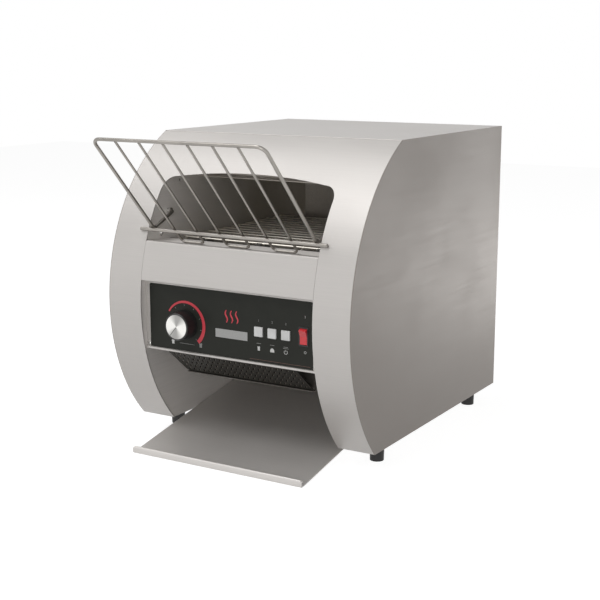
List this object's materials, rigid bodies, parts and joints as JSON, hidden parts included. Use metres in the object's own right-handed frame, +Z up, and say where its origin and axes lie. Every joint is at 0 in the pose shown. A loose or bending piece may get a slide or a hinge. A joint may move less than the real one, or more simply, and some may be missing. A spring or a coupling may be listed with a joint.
{
  "type": "conveyor toaster",
  "caption": "Countertop conveyor toaster: bowed stainless casing, tilting wire feed rack, wire belt between heating elements, control panel and sloping toast tray.",
  "frame": {"origin": "on the counter, under the middle of the toaster's overall length and width", "axes": "+Z up, the front with the feed rack, controls and tray faces -Y, +X is the toaster's right side as its user sees it"},
  "size_m": [0.368, 0.5698, 0.4234],
  "materials": {
    "stainless": "brushed stainless steel sheet, satin",
    "liner": "aluminised steel, heat-stained by use",
    "tray_steel": "brushed stainless steel, grain across the slide",
    "wire": "bright polished wire",
    "belt_wire": "stainless spring wire",
    "shaft_steel": "ground steel",
    "chain_steel": "oiled roller chain",
    "bearing_bronze": "sintered bronze",
    "quartz": "translucent quartz tube",
    "ceramic": "off-white steatite ceramic",
    "overlay_film": "fine matte black film",
    "vent_black": "black enamel",
    "black_plastic": "black moulded plastic",
    "knob_aluminium": "circular spun aluminium",
    "white_button": "white moulded plastic",
    "rocker_red": "red moulded plastic",
    "board_green": "green circuit board",
    "motor_black": "black lacquer",
    "gearbox_cast": "as-cast aluminium",
    "foot_rubber": "black rubber",
    "zinc": "bright zinc plate"
  },
  "bodies": {
    "toaster_body": {"base_pan": "stainless", "left_side_panel": "stainless", "right_side_panel": "stainless", "top_cover": "stainless", "front_shroud": "stainless", "rear_panel": "stainless", "left_inner_wall": "liner", "right_inner_wall": "liner", "front_panel": "stainless", "control_panel": "stainless", "control_overlay": "overlay_film", "vent_plate": "vent_black", "control_shield": "liner", "entry_ledge": "stainless", "chamber_front_plate": "liner", "upper_reflector": "liner", "lower_reflector": "liner", "under_belt_shield": "liner", "upper_elements": "quartz", "lower_elements": "quartz", "element_ends": "ceramic", "conveyor_belt": "belt_wire", "belt_rails": "liner", "shaft_bearings": "bearing_bronze", "drive_chain": "chain_steel", "gearmotor_gearbox": "gearbox_cast", "gearmotor_motor": "motor_black", "motor_bracket": "zinc", "rear_chute": "liner", "rack_studs": "zinc", "speed_control": "zinc", "control_board": "board_green", "rocker_housing": "black_plastic", "terminal_block": "black_plastic", "power_relays": "black_plastic", "limit_thermostat": "ceramic", "fan_frame": "black_plastic", "cord_gland": "black_plastic", "feet": "foot_rubber", "foot_studs": "zinc", "wall_screws": "zinc"},
    "toast_tray": {"toast_tray": "tray_steel"},
    "feed_rack": {"rack_frame": "wire", "rack_wires": "wire", "rack_cross_bar": "wire"},
    "speed_knob": {"speed_knob": "black_plastic", "knob_face": "knob_aluminium", "speed_control_shaft": "shaft_steel"},
    "bread_button": {"bread_button": "white_button"},
    "bun_button": {"bun_button": "white_button"},
    "standby_button": {"standby_button": "white_button"},
    "power_rocker": {"power_rocker": "rocker_red"},
    "drive_shaft": {"drive_shaft": "shaft_steel", "drive_sprockets": "shaft_steel", "driven_sprocket": "chain_steel"},
    "idler_shaft": {"idler_shaft": "shaft_steel", "idler_sprockets": "shaft_steel"},
    "motor_output": {"gearmotor_shaft": "shaft_steel", "motor_sprocket": "chain_steel"},
    "fan_rotor": {"fan_rotor": "black_plastic"}
  },
  "joints": [
    {"name": "toast_tray_slide", "type": "slide", "parent": "toaster_body", "child": "toast_tray", "axis": [0, -1, 0], "range_m": [0, 0.2]},
    {"name": "feed_rack_swing", "type": "hinge", "parent": "toaster_body", "child": "feed_rack", "pos_m": [0, -0.12205, 0.315], "axis": [-1, 0, 0], "range_deg": [0, 85]},
    {"name": "speed_knob_turn", "type": "hinge", "parent": "toaster_body", "child": "speed_knob", "pos_m": [-0.068, -0.17505, 0.176], "axis": [0, 1, 0], "range_deg": [0, 278]},
    {"name": "bread_button_press", "type": "slide", "parent": "toaster_body", "child": "bread_button", "axis": [0, 1, 0], "range_m": [0, 0.0015], "stiffness_N_per_m": 400},
    {"name": "bun_button_press", "type": "slide", "parent": "toaster_body", "child": "bun_button", "axis": [0, 1, 0], "range_m": [0, 0.0015], "stiffness_N_per_m": 400},
    {"name": "standby_button_press", "type": "slide", "parent": "toaster_body", "child": "standby_button", "axis": [0, 1, 0], "range_m": [0, 0.0015], "stiffness_N_per_m": 400},
    {"name": "power_rocker_tilt", "type": "hinge", "parent": "toaster_body", "child": "power_rocker", "pos_m": [0.112, -0.17405, 0.181], "axis": [-1, 0, 0], "range_deg": [0, 24]},
    {"name": "drive_shaft_spin", "type": "hinge", "parent": "toaster_body", "child": "drive_shaft", "pos_m": [0, 0.15456, 0.25244], "axis": [-1, 0, 0], "continuous": true, "deforming": ["conveyor_belt", "drive_chain"]},
    {"name": "idler_shaft_spin", "type": "hinge", "parent": "toaster_body", "child": "idler_shaft", "pos_m": [0, -0.09309, 0.25244], "axis": [-1, 0, 0], "continuous": true},
    {"name": "motor_sprocket_spin", "type": "hinge", "parent": "toaster_body", "child": "motor_output", "pos_m": [-0.1425, 0.11927, 0.1555], "axis": [-1, 0, 0], "continuous": true},
    {"name": "fan_rotor_spin", "type": "hinge", "parent": "toaster_body", "child": "fan_rotor", "pos_m": [0, 0.26193, 0.325], "axis": [0, 1, 0], "continuous": true}
  ],
  "couplings": [
    {"joint": "idler_shaft_spin", "follows": "drive_shaft_spin", "ratio": 1},
    {"joint": "motor_sprocket_spin", "follows": "drive_shaft_spin", "ratio": 2}
  ]
}
